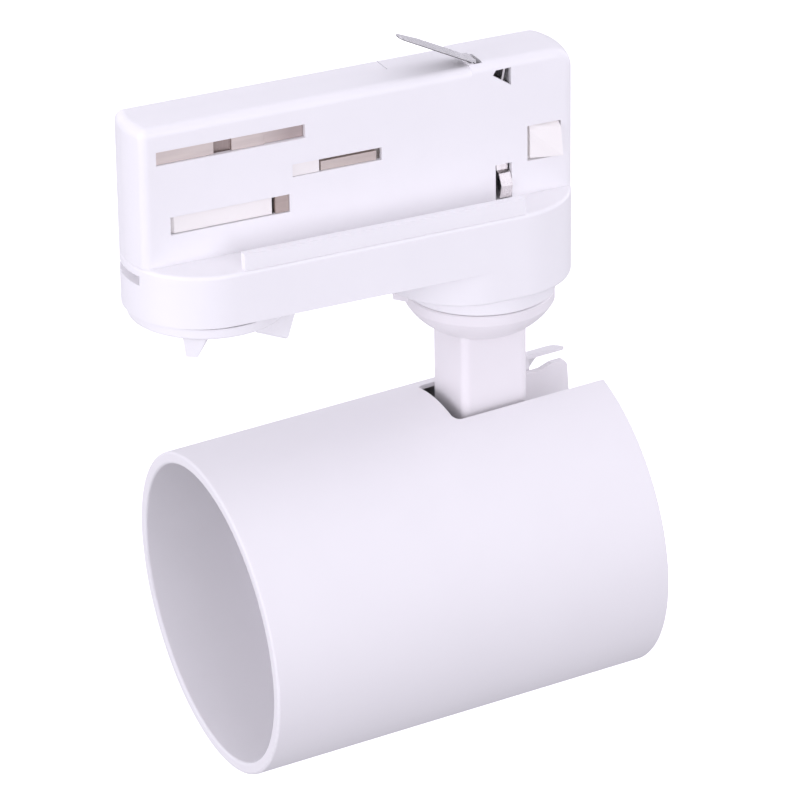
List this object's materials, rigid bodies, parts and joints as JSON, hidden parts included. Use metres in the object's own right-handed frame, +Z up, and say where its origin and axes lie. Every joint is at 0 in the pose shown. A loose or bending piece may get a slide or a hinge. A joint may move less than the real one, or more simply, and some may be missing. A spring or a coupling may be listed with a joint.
{
  "type": "track spotlight",
  "caption": "Round tube spotlight on a square swivel arm under a track adapter with a lock lever, phase dial, contact slots and earth spring.",
  "frame": {"origin": "centre of the track seat plane, the top of the two ribs on the adapter's base", "axes": "+Z up into the track, +X along the track towards the swivel, -Y towards the contact slot side"},
  "size_m": [0.1168, 0.0756, 0.171],
  "materials": {
    "white_plastic": "satin moulded polycarbonate",
    "carrier_plastic": "satin moulded insulating plastic",
    "white_paint": "fine matt powder coat on aluminium",
    "baffle_paint": "matt powder coat on steel",
    "spring_steel": "rolled spring steel",
    "screw_steel": "zinc plated",
    "brass": "turned pins",
    "tinned_copper": "tinned copper strip",
    "lamp_shell": "gloss white",
    "lens_glass": "clear",
    "ceramic": "glazed ceramic"
  },
  "bodies": {
    "adapter": {"base_shell": "white_plastic", "bottom_cover": "white_plastic", "cover_screws": "screw_steel", "housing_front": "white_plastic", "housing_rear": "white_plastic", "housing_screws": "screw_steel", "contact_carrier": "carrier_plastic", "phase_contact_strips": "tinned_copper", "neutral_contact_strip": "tinned_copper", "earth_side_clip": "spring_steel", "swivel_ring": "white_plastic", "latch_spring_front": "spring_steel", "latch_spring_rear": "spring_steel"},
    "earth_spring": {"earth_blade": "spring_steel"},
    "front_latch": {"latch_front": "carrier_plastic"},
    "rear_latch": {"latch_rear": "carrier_plastic"},
    "lock": {"lock_lever": "white_plastic", "lock_spindle": "carrier_plastic", "lock_plate": "carrier_plastic", "neutral_contact_arm": "tinned_copper"},
    "selector": {"phase_dial": "white_plastic", "dial_spindle": "carrier_plastic", "phase_contact_arm": "tinned_copper"},
    "arm": {"swivel_bowl": "white_plastic", "stem": "white_plastic", "swivel_nipple": "screw_steel", "stop_washer": "spring_steel", "nipple_nut": "screw_steel"},
    "head": {"tube_housing": "white_paint", "tilt_bracket": "white_paint", "pivot_bolt": "screw_steel", "pivot_nut": "screw_steel", "friction_washers": "spring_steel", "rear_cover": "white_paint", "rear_screws": "screw_steel", "baffle_ring": "baffle_paint", "lamp_frame": "spring_steel", "lamp_body": "lamp_shell", "lamp_lens": "lens_glass", "lamp_pins": "brass", "retaining_ring": "spring_steel", "lamp_holder": "ceramic"}
  },
  "joints": [
    {"name": "lock_turn", "type": "hinge", "parent": "adapter", "child": "lock", "pos_m": [-0.033, 0, -0.0162], "axis": [0, 0, 1], "range_deg": [0, 90]},
    {"name": "phase_turn", "type": "hinge", "parent": "adapter", "child": "selector", "pos_m": [-0.033, 0, -0.0194], "axis": [0, 0, 1], "range_deg": [-90, 0]},
    {"name": "front_latch_press", "type": "slide", "parent": "adapter", "child": "front_latch", "axis": [0, 1, 0], "range_m": [0, 0.0019], "stiffness_N_per_m": 300, "springref_m": -0.002, "deforming": ["latch_spring_front"]},
    {"name": "rear_latch_press", "type": "slide", "parent": "adapter", "child": "rear_latch", "axis": [0, -1, 0], "range_m": [0, 0.0019], "stiffness_N_per_m": 300, "springref_m": -0.002, "deforming": ["latch_spring_rear"]},
    {"name": "earth_blade_flex", "type": "hinge", "parent": "adapter", "child": "earth_spring", "pos_m": [0.0289, 0, 0.0296], "axis": [0, -1, 0], "range_deg": [0, 20], "stiffness_Nm_per_rad": 0.03},
    {"name": "swivel", "type": "hinge", "parent": "adapter", "child": "arm", "pos_m": [0.03365, 0, -0.0275], "axis": [0, 0, 1], "range_deg": [-165, 165]},
    {"name": "tilt", "type": "hinge", "parent": "arm", "child": "head", "pos_m": [0.03365, 0, -0.0694], "axis": [0, -1, 0], "range_deg": [-3.6, 86.4]}
  ]
}
